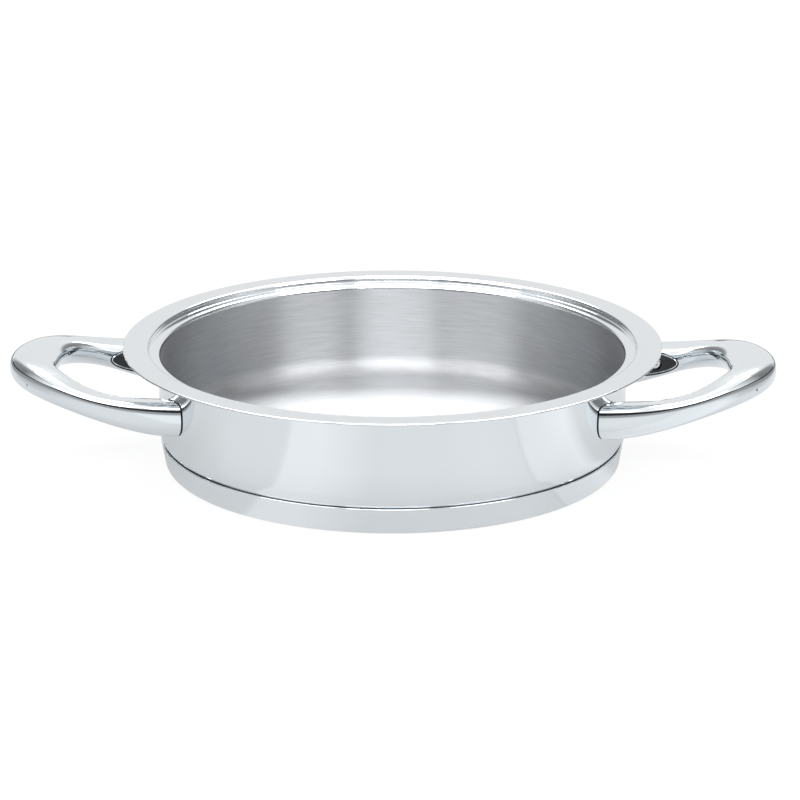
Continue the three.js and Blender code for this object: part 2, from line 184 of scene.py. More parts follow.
class PotHandleSettings(PropertyGroup):
    """Hollow loop handles."""

    reach: length("Reach", 74.2, "From the wall to the tip of the loop")
    span: length("Span", 118.2, "Across both legs")
    setback: length("Setback", 14.6, "The loop is widest this far inside the wall")
    leg_width: length("Leg width", 21.7, "Width of a leg in plan")
    bow_width: length("Bow width", 24.0, "Width of the broad part at the tip")
    gap_squareness: number("Gap squareness", 2.98, "Exponent of the finger gap's outline")
    drop: length("Drop", 25.5, "Middle of the leg's root below the rim")
    leg_height: length("Leg height", 17.7, "Height of a leg at its root")
    top_rise: length("Top rise", 11.3, "Top of the bow above the top of the leg's root")
    top_delay: number("Top delay", 1.95, "How late along the loop that rise comes")
    bottom_rise: length("Bottom rise", 13.6, "Underside of the bow above that of the leg's root")
    bottom_delay: number("Bottom delay", 1.0, "How late along the loop that rise comes")
    top_crown: length("Top crown", 1.1, "A leg's top lies this far in from its middle")
    under_crown: length("Under crown", 2.0, "A leg's underside lies this far in from its middle")
    leg_roll: length("Leg roll", 3.0, "Outer side of a leg's section above its inner side")
    bow_swell: number("Bow swell", 0.08, "Share by which the bow is thicker outside than inside")
    squareness: number("Squareness", 2.3, "Exponent of the bow's section")
    underside: number("Underside squareness", 4.1, "Exponent of a leg's lower half")
    shoulder: number("Shoulder squareness", 3.8, "Exponent of a leg's upper inner quarter")
    edge_out: number("Edge outwards", 4.5, "Exponent across the ridged upper outer quarter of a leg")
    edge_up: number("Edge upwards", 9.5, "Exponent up that quarter")
    bow_edge_up: number("Bow edge upwards", 3.1, "Exponent up the same quarter of the bow")
    edge_hold: number("Edge hold", 3.3, "How late along the loop the ridge softens")
    wall: length("Wall", 1.2, "Thickness of the hollow loop")
    joint: length("Joint", 0.5, "Leg's end clear of the pot's wall")
    vent_diameter: length("Vent diameter", 1.3, "Vent holes of the hollow loop")
    vent_angle: angle("Vent angle", 30.0, "Place of a vent round the loop from its tip")
    vent_dip: angle("Vent dip", 5.0, "Place of a vent below the loop's outer edge")
    stations: count("Stations", 160, "Steps along the loop")
    sides: count("Sides", 72, "Steps round the section")
    bead: length("Bead", 0.7, "Thickness of the trim ring in a window")
    bead_inset: length("Bead inset", 0.9, "Middle of the trim ring inside the edge of the window")
    steel: colour("Polished steel", (0.825, 0.865, 0.89), "Colour of the loops")


class PotInsertSettings(PropertyGroup):
    """Heat-resistant inserts in the legs."""

    fit: length("Fit", 0.3, "Clearance between neighbouring pieces")
    collar: length("Collar", 0.25, "Collar between the leg's end and the wall")
    collar_gap: length("Collar gap", 0.15, "Collar clear of the wall")
    collar_inset: length("Collar inset", 0.3, "Collar's edge inside the leg's outline")
    reach: length("Reach", 28.6, "Tip of the window outside the wall")
    nose: length("Nose", 17.0, "Length of the window's rounded end")
    height: length("Height", 12.0, "Height of the window")
    lift: length("Lift", 0.5, "Middle of the window above the middle of the leg")
    slope: angle("Slope", 5.7, "Rise of the window from the wall")
    recess: length("Recess", 0.6, "Face of the insert below the leg's surface")
    window_gap: length("Window gap", 0.75, "Face of the insert inside the window's outline")
    overrun: length("Overrun", 2.5, "Insert past the window's tip")
    edge: length("Edge", 0.4, "Rounding of the face's edge")
    strip: length("Strip", 2.4, "Thickness of the bracket in the insert")
    cheek: length("Cheek", 4.6, "Insert left between washer and bracket")
    colour: colour("Colour", (0.014, 0.014, 0.016), "Black phenolic")


class PotFastenerSettings(PropertyGroup):
    """Socket screws and washers of the legs."""

    from_wall: length("From wall", 16.8, "Screw's axis outside the wall")
    washer: length("Washer", 0.8, "Thickness of the washer")
    washer_diameter: length("Washer diameter", 6.2, "Outside of the washer")
    head_diameter: length("Head diameter", 5.4, "Screw's head")
    head_height: length("Head height", 1.8, "Screw's head")
    head_bevel: length("Head bevel", 0.35, "Rounding of the head's edge")
    diameter: length("Diameter", 4.0, "Screw's shank")
    past_bracket: length("Past bracket", 1.0, "Screw's end past the bracket")
    socket: length("Socket", 3.0, "Across the corners of the hexagon")
    socket_depth: length("Socket depth", 1.2, "Depth of the hexagon")
    steel: colour("Steel", (0.66, 0.67, 0.68), "Colour of screws and washers")


class PotStageSettings(PropertyGroup):
    """Camera, floor and lights."""

    distance: length("Distance", 1500.0, "Camera from the point that it looks at")
    elevation: angle("Elevation", 17.676, "Camera above the table")
    azimuth: angle("Azimuth", 1.24, "Camera round towards the right handle")
    aim_right: length("Aim right", 3.735, "Aim to the right of the pot's axis")
    aim_height: length("Aim height", 29.83, "Aim above the table")
    lens: number("Lens", 135.597, "Focal length on a 36 mm sensor")
    floor: colour("Floor", (0.86, 0.87, 0.88), "Colour of the table")


class PotSettings(PropertyGroup):
    """All settings of the pot."""

    vessel: PointerProperty(type=PotVesselSettings, name="Vessel", description="Drawn steel bowl")
    base: PointerProperty(type=PotBaseSettings, name="Base", description="Capsule of the base")
    handle: PointerProperty(type=PotHandleSettings, name="Handles", description="Hollow loops")
    insert: PointerProperty(type=PotInsertSettings, name="Inserts", description="Inserts in the legs")
    fastener: PointerProperty(
        type=PotFastenerSettings, name="Fasteners", description="Screws and washers"
    )
    stage: PointerProperty(type=PotStageSettings, name="Stage", description="Camera, floor and lights")


# Nodes

def add_node(tree, kind, inputs=None, **settings):
    """Adds a node, sets its options, and sets or links its inputs."""
    node = tree.nodes.new(kind)
    for name, value in settings.items():
        setattr(node, name, value)
    for name, value in (inputs or {}).items():
        if isinstance(value, NodeSocket):
            tree.links.new(value, node.inputs[name])
        else:
            node.inputs[name].default_value = value
    return node


def maths(tree, operation, *values):
    """Adds a math node for either kind of tree and returns its output."""
    return add_node(tree, "ShaderNodeMath", dict(enumerate(values)), operation=operation).outputs[0]


def vectors(tree, operation, inputs, output="Vector"):
    """Adds a vector math node and returns one of its outputs."""
    return add_node(tree, "ShaderNodeVectorMath", inputs, operation=operation).outputs[output]


def split(tree, vector):
    """The X, Y and Z of a vector."""
    return add_node(tree, "ShaderNodeSeparateXYZ", {0: vector}).outputs


def joined(tree, x, y, z):
    """Vector from its X, Y and Z."""
    return add_node(tree, "ShaderNodeCombineXYZ", {"X": x, "Y": y, "Z": z}).outputs[0]


def ramp(tree, factor, stops):
    """Adds a colour ramp with (position, grey or colour) stops and returns its colour."""
    node = add_node(tree, "ShaderNodeValToRGB", {"Fac": factor})
    elements = node.color_ramp.elements
    while len(elements) < len(stops):
        elements.new(1.0)
    for element, (position, shade) in zip(elements, stops):
        element.position = position
        element.color = (*shade, 1.0) if isinstance(shade, tuple) else (shade, shade, shade, 1.0)
    return node.outputs["Color"]


def times(tree, first, second):
    """Multiplies two colours."""
    colours = {"Fac": 1.0, "Color1": first, "Color2": second}
    return add_node(tree, "ShaderNodeMixRGB", colours, blend_type="MULTIPLY").outputs["Color"]


def mixed(tree, share, first, second):
    """Mixes two shaders."""
    return add_node(tree, "ShaderNodeMixShader", {0: share, 1: first, 2: second}).outputs[0]


def ray_kinds(tree):
    """Whether a ray comes from the camera, and whether it comes off a shiny surface."""
    rays = add_node(tree, "ShaderNodeLightPath").outputs
    shiny = maths(tree, "MAXIMUM", rays["Is Glossy Ray"], rays["Is Transmission Ray"])
    return rays["Is Camera Ray"], shiny


def spread(tree, value, low, high):
    """Maps a 0 to 1 value onto a range."""
    node = add_node(tree, "ShaderNodeMapRange", {"Value": value, "To Min": low, "To Max": high})
    return node.outputs["Result"]


def noise(tree, vector, scale, detail=2.0):
    """Adds a noise texture and returns its value."""
    node = add_node(tree, "ShaderNodeTexNoise", {"Vector": vector, "Scale": scale, "Detail": detail})
    return node.outputs["Fac"]


def bump(tree, height, strength, distance):
    """Adds a bump node and returns its normal."""
    inputs = {"Height": height, "Strength": strength, "Distance": distance}
    return add_node(tree, "ShaderNodeBump", inputs).outputs["Normal"]


def empty_tree(block):
    """Switches a material or world to nodes and returns its empty tree."""
    block.use_nodes = True
    block.node_tree.nodes.clear()
    return block.node_tree


def new_material(name):
    """Empty node material with its shader, and the object coordinates."""
    material = bpy.data.materials.new(name)
    tree = empty_tree(material)
    shader = add_node(tree, "ShaderNodeBsdfPrincipled")
    output = add_node(tree, "ShaderNodeOutputMaterial")
    tree.links.new(shader.outputs["BSDF"], output.inputs["Surface"])
    place = add_node(tree, "ShaderNodeTexCoord").outputs["Object"]
    return material, tree, shader, place


def link_finish(tree, shader, base, roughness, normal):
    """Links a shader's colour, roughness and normal."""
    tree.links.new(base, shader.inputs["Base Color"])
    tree.links.new(roughness, shader.inputs["Roughness"])
    tree.links.new(normal, shader.inputs["Normal"])


def tint(tree, value, base, share):
    """Base colour made lighter and darker by a share, after a 0 to 1 value."""
    dark = tuple(channel * (1 - share) for channel in base)
    light = tuple(min(1.0, channel * (1 + share)) for channel in base)
    return ramp(tree, value, [(0.25, dark), (0.75, light)])


def ring_lines(tree, place, lines, streak):
    """Fine lines that run round the pot's axis, both on a wall and on a floor."""
    parts = split(tree, place)
    flat = joined(tree, parts["X"], parts["Y"], 0.0)
    radius = vectors(tree, "LENGTH", {0: flat}, "Value")
    way = vectors(tree, "NORMALIZE", {0: flat})
    turn = vectors(tree, "SCALE", {0: way, "Scale": streak})
    across = maths(tree, "MULTIPLY", maths(tree, "SUBTRACT", parts["Z"], radius), lines)
    lift = joined(tree, 0.0, 0.0, across)
    return noise(tree, vectors(tree, "ADD", {0: turn, 1: lift}), scale=1.0, detail=3.0)


def polished_steel(name, base, waviness):
    """Mirror-like steel with slow waves and faint polishing marks."""
    material, tree, shader, place = new_material(name)
    marks = noise(tree, place, scale=900.0, detail=4.0)
    cloud = noise(tree, place, scale=22.0, detail=2.0)
    link_finish(
        tree,
        shader,
        base=tint(tree, cloud, base, share=0.012),
        roughness=spread(tree, marks, low=0.045, high=0.085),
        normal=bump(tree, cloud, strength=waviness, distance=0.6 * MM),
    )
    shader.inputs["Metallic"].default_value = 1.0
    return material


def satin_steel(name, base):
    """Steel brushed in rings round the pot's axis, which draws highlights out across the lines."""
    material, tree, shader, place = new_material(name)
    lines = ring_lines(tree, place, lines=1500.0, streak=7.0)
    cloud = noise(tree, place, scale=30.0, detail=3.0)
    link_finish(
        tree,
        shader,
        base=tint(tree, lines, base, share=0.11),
        roughness=spread(tree, cloud, low=0.37, high=0.43),
        normal=bump(tree, lines, strength=0.05, distance=0.1 * MM),
    )
    tangent = add_node(tree, "ShaderNodeTangent", direction_type="RADIAL", axis="Z")
    tree.links.new(tangent.outputs["Tangent"], shader.inputs["Tangent"])
    shader.inputs["Metallic"].default_value = 1.0
    shader.inputs["Anisotropic"].default_value = 0.95
    shader.inputs["Anisotropic Rotation"].default_value = 0.25
    return material


def plain_metal(name, base, roughness):
    """Metal as it comes from the tool, slightly uneven."""
    material, tree, shader, place = new_material(name)
    grain = noise(tree, place, scale=1400.0, detail=3.0)
    link_finish(
        tree,
        shader,
        base=tint(tree, grain, base, share=0.06),
        roughness=spread(tree, grain, low=roughness * 0.8, high=roughness * 1.25),
        normal=bump(tree, grain, strength=0.08, distance=0.1 * MM),
    )
    shader.inputs["Metallic"].default_value = 1.0
    return material


def black_phenolic(name, base):
    """Moulded black plastic with a fine satin grain."""
    material, tree, shader, place = new_material(name)
    grain = noise(tree, place, scale=1800.0, detail=3.0)
    cloud = noise(tree, place, scale=120.0, detail=2.0)
    link_finish(
        tree,
        shader,
        base=tint(tree, cloud, base, share=0.25),
        roughness=spread(tree, cloud, low=0.36, high=0.46),
        normal=bump(tree, grain, strength=0.12, distance=0.1 * MM),
    )
    return material


def geometry_group(name, sockets):
    """Node group that takes and gives a geometry, with named inputs."""
    group = bpy.data.node_groups.new(name, "GeometryNodeTree")
    group.interface.new_socket("Geometry", in_out="OUTPUT", socket_type="NodeSocketGeometry")
    group.interface.new_socket("Geometry", in_out="INPUT", socket_type="NodeSocketGeometry")
    for title, kind, default in sockets:
        socket = group.interface.new_socket(title, in_out="INPUT", socket_type=kind)
        if default is not None:
            socket.default_value = default
    start = group.nodes.new("NodeGroupInput")
    end = group.nodes.new("NodeGroupOutput")
    return group, start.outputs, end.inputs


def attribute(group, name, kind="FLOAT"):
    """Reads a named attribute."""
    return add_node(group, "GeometryNodeInputNamedAttribute", {"Name": name}, data_type=kind).outputs[0]


def sampled(group, geometry, value, index, kind):
    """Value of a geometry's point at an index."""
    inputs = {"Geometry": geometry, "Value": value, "Index": index}
    return add_node(group, "GeometryNodeSampleIndex", inputs, data_type=kind).outputs["Value"]


def changed(group, kind, geometry, inputs, **settings):
    """Adds a node that changes a geometry and returns the result."""
    return add_node(group, kind, {"Geometry": geometry, **inputs}, **settings).outputs[0]


def stored(group, geometry, name, value, kind, domain):
    """Stores a named attribute on a geometry."""
    inputs = {"Name": name, "Value": value}
    return changed(
        group, "GeometryNodeStoreNamedAttribute", geometry, inputs, data_type=kind, domain=domain
    )


def revolve_group():
    """Turns a profile's points about Z; faces in its marked zone take the second material."""
    group, given, result = geometry_group("Revolve profile", [
        ("Segments", "NodeSocketInt", 96),
        ("Material", "NodeSocketMaterial", None),
        ("Zone material", "NodeSocketMaterial", None),
    ])
    profile = given["Geometry"]
    size = add_node(group, "GeometryNodeAttributeDomainSize", {"Geometry": profile})
    rows = size.outputs["Point Count"]
    columns = maths(group, "ADD", given["Segments"], 1.0)
    grid = add_node(group, "GeometryNodeMeshGrid", {"Vertices X": rows, "Vertices Y": columns}).outputs
    index = add_node(group, "GeometryNodeInputIndex").outputs[0]
    row = maths(group, "FLOOR", maths(group, "DIVIDE", maths(group, "ADD", index, 0.5), columns))
    column = maths(group, "SUBTRACT", index, maths(group, "MULTIPLY", row, columns))
    turn = maths(group, "MULTIPLY", maths(group, "DIVIDE", column, given["Segments"]), math.tau)
    back = maths(group, "MULTIPLY", turn, -1.0)
    place = add_node(group, "GeometryNodeInputPosition").outputs[0]
    parts = split(group, sampled(group, profile, place, row, "FLOAT_VECTOR"))
    point = joined(
        group,
        maths(group, "MULTIPLY", parts["X"], maths(group, "COSINE", turn)),
        maths(group, "MULTIPLY", parts["X"], maths(group, "SINE", back)),
        parts["Z"],
    )
    zone = sampled(group, profile, attribute(group, "zone"), row, "FLOAT")
    mesh = stored(group, grid["Mesh"], "zone", zone, "FLOAT", "POINT")
    mesh = stored(group, mesh, "UVMap", grid["UV Map"], "FLOAT2", "CORNER")
    mesh = changed(group, "GeometryNodeSetPosition", mesh, {"Position": point})
    mesh = changed(group, "GeometryNodeMergeByDistance", mesh, {"Distance": WELD})
    mesh = changed(group, "GeometryNodeSetShadeSmooth", mesh, {})
    mesh = changed(group, "GeometryNodeSetMaterial", mesh, {"Material": given["Material"]})
    marked = maths(group, "GREATER_THAN", attribute(group, "zone"), ZONE_EDGE)
    mesh = changed(group, "GeometryNodeSetMaterial", mesh, {
        "Selection": marked,
        "Material": given["Zone material"],
    })
    group.links.new(mesh, result["Geometry"])
    return group


def fastener_group(revolve):
    """Turned piece with a hexagonal socket, set at each point of the places object."""
    group, given, result = geometry_group("Turned fasteners", [
        ("Segments", "NodeSocketInt", 48),
        ("Socket", "NodeSocketFloat", 0.0),
        ("Socket depth", "NodeSocketFloat", 0.0),
        ("Socket top", "NodeSocketFloat", 0.0),
        ("Places", "NodeSocketObject", None),
        ("Material", "NodeSocketMaterial", None),
    ])
    turned = add_node(group, "GeometryNodeGroup", node_tree=revolve)
    for name in ("Geometry", "Segments", "Material"):
        group.links.new(given[name], turned.inputs[name])
    group.links.new(given["Material"], turned.inputs["Zone material"])
    hexagon = add_node(group, "GeometryNodeMeshCylinder", {
        "Vertices": 6,
        "Radius": given["Socket"],
        "Depth": maths(group, "MULTIPLY", given["Socket depth"], 2.0),
    })
    lift = joined(group, 0.0, 0.0, given["Socket top"])
    raised = changed(group, "GeometryNodeTransform", hexagon.outputs["Mesh"], {"Translation": lift})
    cut = add_node(
        group,
        "GeometryNodeMeshBoolean",
        {"Mesh 1": turned.outputs[0], "Mesh 2": raised},
        operation="DIFFERENCE",
        solver="EXACT",
    )
    places = add_node(group, "GeometryNodeObjectInfo", {"Object": given["Places"]})
    facing = attribute(group, "facing", "FLOAT_VECTOR")
    aligned = add_node(group, "FunctionNodeAlignRotationToVector", {"Vector": facing}, axis="Z")
    placed = add_node(group, "GeometryNodeInstanceOnPoints", {
        "Points": places.outputs["Geometry"],
        "Instance": cut.outputs["Mesh"],
        "Rotation": aligned.outputs[0],
    })
    real = changed(group, "GeometryNodeRealizeInstances", placed.outputs[0], {})
    painted = changed(group, "GeometryNodeSetMaterial", real, {"Material": given["Material"]})
    group.links.new(painted, result["Geometry"])
    return group


# Meshes and objects

def link(name, mesh):
    """New object in the scene for a mesh."""
    obj = bpy.data.objects.new(name, mesh)
    bpy.context.scene.collection.objects.link(obj)
    return obj


def mesh_from(name, points, faces, material=None, smooth=True):
    """Mesh from points and faces, with one material."""
    mesh = bpy.data.meshes.new(name)
    mesh.from_pydata([tuple(map(float, point)) for point in points], [], faces)
    mesh.validate()
    if material:
        mesh.materials.append(material)
    mesh.polygons.foreach_set("use_smooth", [smooth] * len(mesh.polygons))
    mesh.update()
    return mesh


def applied(obj):
    """Plain mesh of an object with its modifiers; the object is left with none."""
    depsgraph = bpy.context.evaluated_depsgraph_get()
    mesh = bpy.data.meshes.new_from_object(obj.evaluated_get(depsgraph), depsgraph=depsgraph)
    old = obj.data
    obj.modifiers.clear()
    obj.data = mesh
    mesh.name = obj.name
    bpy.data.meshes.remove(old)
    return obj


def discard(obj):
    """Removes an object and its mesh."""
    mesh = obj.data
    bpy.data.objects.remove(obj)
    bpy.data.meshes.remove(mesh)


def run_group(obj, group, values):
    """Runs a geometry node group on an object with values for its named inputs."""
    modifier = obj.modifiers.new(group.name, "NODES")
    modifier.node_group = group
    for item in group.interface.items_tree:
        if item.item_type == "SOCKET" and item.in_out == "INPUT" and item.name in values:
            modifier[item.identifier] = values[item.name]
    return applied(obj)


def combine(obj, tools, operation):
    """Joins or cuts an object with tool objects, which are removed."""
    for tool in tools:
        modifier = obj.modifiers.new("Cut", "BOOLEAN")
        modifier.object = tool
        modifier.operation = operation
        modifier.solver = "EXACT"
    applied(obj)
    for tool in tools:
        discard(tool)
    return obj


def finish_piece(obj, nodes):
    """Puts a finished piece on the part's body in place of its nodes."""
    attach(obj, "root")
    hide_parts(*nodes)


def rounded(corners, steps):
    """Points and zones of a profile from its (radius, height, rounding, zone) corners.

    A rounded corner becomes an arc with a support point beside each end.
    """
    points = []
    zones = []
    for i, (x, z, radius, zone) in enumerate(corners):
        here = np.array((x, z))
        if radius <= 0:
            points.append(here)
            zones.append(zone)
            continue
        before = np.array(corners[i - 1][:2]) - here
        after = np.array(corners[i + 1][:2]) - here
        before /= np.linalg.norm(before)
        after /= np.linalg.norm(after)
        half = math.acos(float(np.clip(before @ after, -1, 1))) / 2
        reach = radius / math.tan(half)
        middle = before + after
        centre = here + middle / np.linalg.norm(middle) * radius / math.sin(half)
        first = here + before * reach - centre
        last = here + after * reach - centre
        sweep = math.pi - 2 * half
        arc = []
        for k in range(steps + 1):
            share = k / steps
            near = math.sin((1 - share) * sweep) * first
            far = math.sin(share * sweep) * last
            arc.append(centre + (near + far) / math.sin(sweep))
        arc = [arc[0] + before * SUPPORT, *arc, arc[-1] + after * SUPPORT]
        points.extend(arc)
        zones.extend([zone] * len(arc))
    return points, zones


def turned_piece(name, corners, steps, group, values):
    """Object turned about Z from rounded profile corners."""
    points, zones = rounded(corners, steps)
    mesh = bpy.data.meshes.new(name)
    mesh.from_pydata([(float(x), 0.0, float(z)) for x, z in points], [], [])
    marks = mesh.attributes.new("zone", "FLOAT", "POINT")
    marks.data.foreach_set("value", [float(zone) for zone in zones])
    return run_group(link(name, mesh), group, values)


def shared_group(name, make):
    """Node group of a name, made on first use."""
    return bpy.data.node_groups.get(name) or make()


def revolve():
    """The group that turns profiles."""
    return shared_group("Revolve profile", revolve_group)


def fasteners():
    """The group that sets turned fasteners."""
    return shared_group("Turned fasteners", lambda: fastener_group(revolve()))


def smoothstep(share):
    """Soft step from 0 to 1."""
    share = np.clip(share, 0.0, 1.0)
    return share * share * (3 - 2 * share)


def squared(value, exponent):
    """Signed power that turns a circle's sine or cosine into that of a squarer oval."""
    return np.sign(value) * np.abs(value) ** (2 / exponent)


def blend(first, second, share):
    """Value between two others."""
    return first + (second - first) * share


class Loop:
    """Surface of the loop handle on the +X side."""

    def __init__(self, pot):
        vessel = pot.vessel
        handle = pot.handle
        self.handle = handle
        self.insert = pot.insert
        self.wall = vessel.wall_radius + vessel.sheet
        self.screw_x = self.wall + pot.fastener.from_wall
        self.centre = self.wall - handle.setback
        self.outer = (handle.reach + handle.setback, handle.span / 2)
        self.inner = (self.outer[0] - handle.bow_width, self.outer[1] - handle.leg_width)
        root_y = (self.outer[1] + self.inner[1]) / 2
        self.root_x = math.sqrt(self.wall ** 2 - root_y ** 2)
        self.root_z = vessel.rim_height - handle.drop
        self.bow_x = self.centre + (self.outer[0] + self.inner[0]) / 2
        steps = np.linspace(0, 1, PLAN_STEPS)
        turn = np.arcsin(np.sin(steps * math.pi / 2) ** (handle.gap_squareness / 2))
        run = self.run_along(self.plan(turn)[0])
        self.half_length = run[-1]
        self.share_table = (run / run[-1], turn)
        ring = np.linspace(0, math.tau, RING_STEPS)
        run = self.run_along(self.point(np.full_like(ring, RING_RUN), ring, 0.0))
        self.ring_table = (run / run[-1], ring)

    def run_along(self, points):
        """Length along a line of points, up to each one."""
        return np.concatenate(([0], np.cumsum(np.linalg.norm(np.diff(points, axis=0), axis=1))))

    def plan(self, turn):
        """Middle, direction across and half width of the loop in plan, at an angle from its tip."""
        cos = np.cos(turn)
        sin = np.sin(turn)
        gap = self.handle.gap_squareness
        outer = np.stack((self.centre + self.outer[0] * cos, self.outer[1] * sin), -1)
        inner_x = self.centre + self.inner[0] * squared(cos, gap)
        inner = np.stack((inner_x, self.inner[1] * squared(sin, gap)), -1)
        across = outer - inner
        width = np.linalg.norm(across, axis=-1, keepdims=True)
        return (outer + inner) / 2, across / width, width[..., 0] / 2

    def heights(self, x):
        """Middle height and half thickness of the loop, and how far it has turned into the bow."""
        handle = self.handle
        share = np.clip((x - self.root_x) / (self.bow_x - self.root_x), 0, 1)
        top_rise = handle.top_rise * smoothstep(share ** handle.top_delay)
        low_rise = handle.bottom_rise * smoothstep(share ** handle.bottom_delay)
        top = self.root_z + handle.leg_height / 2 + top_rise
        low = self.root_z - handle.leg_height / 2 + low_rise
        return (top + low) / 2, (top - low) / 2, smoothstep(share)

    def point(self, run, ring, inset):
        """Points at a run of -1 to 1 along the loop and straight on past its ends, at a ring angle."""
        handle = self.handle
        turn = np.sign(run) * np.interp(np.abs(run), *self.share_table)
        middle, across, half_width = self.plan(turn)
        height, half, bow = self.heights(middle[..., 0])
        cos = np.cos(ring)
        sin = np.sin(ring)
        late = bow ** handle.edge_hold
        lower = blend(handle.underside, handle.squareness, bow)
        inner = blend(handle.shoulder, handle.squareness, bow)
        across_edge = blend(handle.edge_out, handle.squareness, late)
        up_edge = blend(handle.edge_up, handle.bow_edge_up, late)
        out = squared(cos, np.where(sin < 0, lower, np.where(cos > 0, across_edge, inner)))
        up = squared(sin, np.where(sin < 0, lower, np.where(cos > 0, up_edge, inner)))
        rise = (half - inset) * up * (1 + handle.bow_swell * bow * out)
        crown = np.where(sin < 0, handle.under_crown, handle.top_crown) * (1 - bow) * up ** 2
        roll = handle.leg_roll / 2 * (1 - bow) * out
        place = middle + across * ((half_width - inset) * out - crown)[..., None]
        past = np.maximum(np.abs(run) - 1, 0) * self.half_length
        return np.stack((place[..., 0] - past, place[..., 1], height + rise + roll), -1)

    def rings(self, sides):
        """Ring angles spread evenly round a leg's section."""
        return np.interp(np.arange(sides) / sides, *self.ring_table)

    def run_at(self, ring, inset, beyond):
        """Run at which each line along the loop meets a limit that grows towards the pot."""
        low, high = (np.full_like(ring, limit) for limit in RUN_RANGE)
        for _ in range(RUN_HALVINGS):
            middle = (low + high) / 2
            past = beyond(self.point(middle, ring, inset))
            high = np.where(past, middle, high)
            low = np.where(past, low, middle)
        return high

    def at_radius(self, radius):
        """Limit for run_at at a radius about the pot's axis."""
        return lambda points: np.hypot(points[..., 0], points[..., 1]) < radius

    def bullet_z(self, x):
        """Height of the line that the window and the screw lie on."""
        insert = self.insert
        return self.root_z + insert.lift + math.tan(insert.slope) * (x - self.root_x)

    def middle_y(self, x):
        """Middle of the leg between the loop's two outlines."""
        outer = self.outer[1] * math.sqrt(1 - ((x - self.centre) / self.outer[0]) ** 2)
        gap = self.handle.gap_squareness
        inner = self.inner[1] * (1 - ((x - self.centre) / self.inner[0]) ** gap) ** (1 / gap)
        return (outer + inner) / 2

    def screw_line(self):
        """Height of the screw, and the bracket's middle and the washer's seat along Y."""
        insert = self.insert
        tongue_y = self.middle_y(self.screw_x)
        seat_y = tongue_y - insert.strip / 2 - insert.fit - insert.cheek
        return self.bullet_z(self.screw_x), tongue_y, seat_y

    def bullet(self, clearance, steps, back):
        """Outline of the window as (x, height) points from its lower back corner round its nose."""
        insert = self.insert
        half = insert.height / 2 - clearance
        nose_x = self.wall + insert.reach - insert.nose
        turn = np.linspace(-math.pi / 2, math.pi / 2, steps)
        x = np.concatenate(([back], nose_x + (insert.nose - clearance) * np.cos(turn), [back]))
        z = np.concatenate(([-half], half * np.sin(turn), [half]))
        return np.stack((x, z + self.bullet_z(x)), -1)


def grid_faces(rows, sides, first=0, inward=False):
    """Quads of a tube of rows with the same number of points."""
    faces = []
    for i in range(rows - 1):
        for j in range(sides):
            a = first + i * sides + j
            b = first + i * sides + (j + 1) % sides
            quad = (a, b, b + sides, a + sides)
            faces.append(quad[::-1] if inward else quad)
    return faces


def tube(name, rows, material=None):
    """Closed solid through rows of points, capped at both ends."""
    count_rows, sides = rows.shape[:2]
    points = rows.reshape(-1, 3)
    last = (count_rows - 1) * sides
    faces = grid_faces(count_rows, sides)
    faces.append(tuple(range(sides))[::-1])
    faces.append(tuple(range(last, last + sides)))
    return link(name, mesh_from(name, points, faces, material))


def prism(name, outline, low, high, material=None):
    """Closed bar along Y from an outline of (x, z) points."""
    rows = np.stack([np.insert(outline, 1, y, axis=1) for y in (high, low)])
    return tube(name, rows, material)


def bar(name, start, end, radius, sides, material=None):
    """Round bar from one point to another."""
    start = Vector(start)
    along = Vector(end) - start
    turn = along.to_track_quat("Z", "Y").to_matrix()
    ways = np.arange(sides) * math.tau / sides
    circle = [turn @ Vector((math.cos(way), math.sin(way), 0)) * radius for way in ways]
    rows = np.array([[start + point + along * share for point in circle] for share in (0, 1)])
    return tube(name, rows, material)


def follow_skin(mesh, skin):
    """Gives faces that lie on an uncut skin that skin's smooth normals."""
    points = [vertex.co.copy() for vertex in skin.vertices]
    normals = [vertex.normal.copy() for vertex in skin.vertices]
    faces = [tuple(polygon.vertices) for polygon in skin.polygons]
    tree = BVHTree.FromPolygons(points, faces)
    result = [Vector((0, 0, 0)) for _ in mesh.loops]
    for polygon in mesh.polygons:
        _, normal, _, distance = tree.find_nearest(polygon.center)
        on_skin = distance < SKIN_REACH and normal.dot(polygon.normal) > SKIN_FACING
        polygon.use_smooth = True
        for index in polygon.loop_indices:
            if not on_skin:
                result[index] = polygon.normal.copy()
                continue
            corner = mesh.vertices[mesh.loops[index].vertex_index].co
            spot, _, face, _ = tree.find_nearest(corner)
            weights = poly_3d_calc([points[i] for i in faces[face]], spot)
            smooth = sum((normals[i] * w for i, w in zip(faces[face], weights)), Vector())
            result[index] = smooth.normalized()
    mesh.normals_split_custom_set(result)


def face_depth(loop, inset):
    """Function for the place along Y of the rear leg's inner face, at a depth below its surface."""
    ring = loop.rings(FACE_SIDES)
    runs = np.linspace(*FACE_RUNS, FACE_ROWS)[:, None]
    rows = loop.point(runs + 0 * ring, ring + 0 * runs, inset)
    points = [Vector(point) for point in rows.reshape(-1, 3)]
    surface = BVHTree.FromPolygons(points, grid_faces(FACE_ROWS, FACE_SIDES))
    return lambda x, z: surface.ray_cast(Vector((x, 0, z)), Vector((0, 1, 0)))[0].y


def turned_copy(obj, name, matrix):
    """Copy of an object with its mesh moved by a matrix, kept facing outwards."""
    mesh = obj.data.copy()
    mesh.name = name
    mesh.transform(matrix)
    if matrix.determinant() < 0:
        mesh.flip_normals()
    mesh.update()
    return link(name, mesh)


LEG_MATRICES = {
    "right_rear": Matrix.Identity(4),
    "right_front": Matrix.Diagonal((1, -1, 1, 1)),
    "left_rear": Matrix.Diagonal((-1, 1, 1, 1)),
    "left_front": Matrix.Diagonal((-1, -1, 1, 1)),
}


# Operators

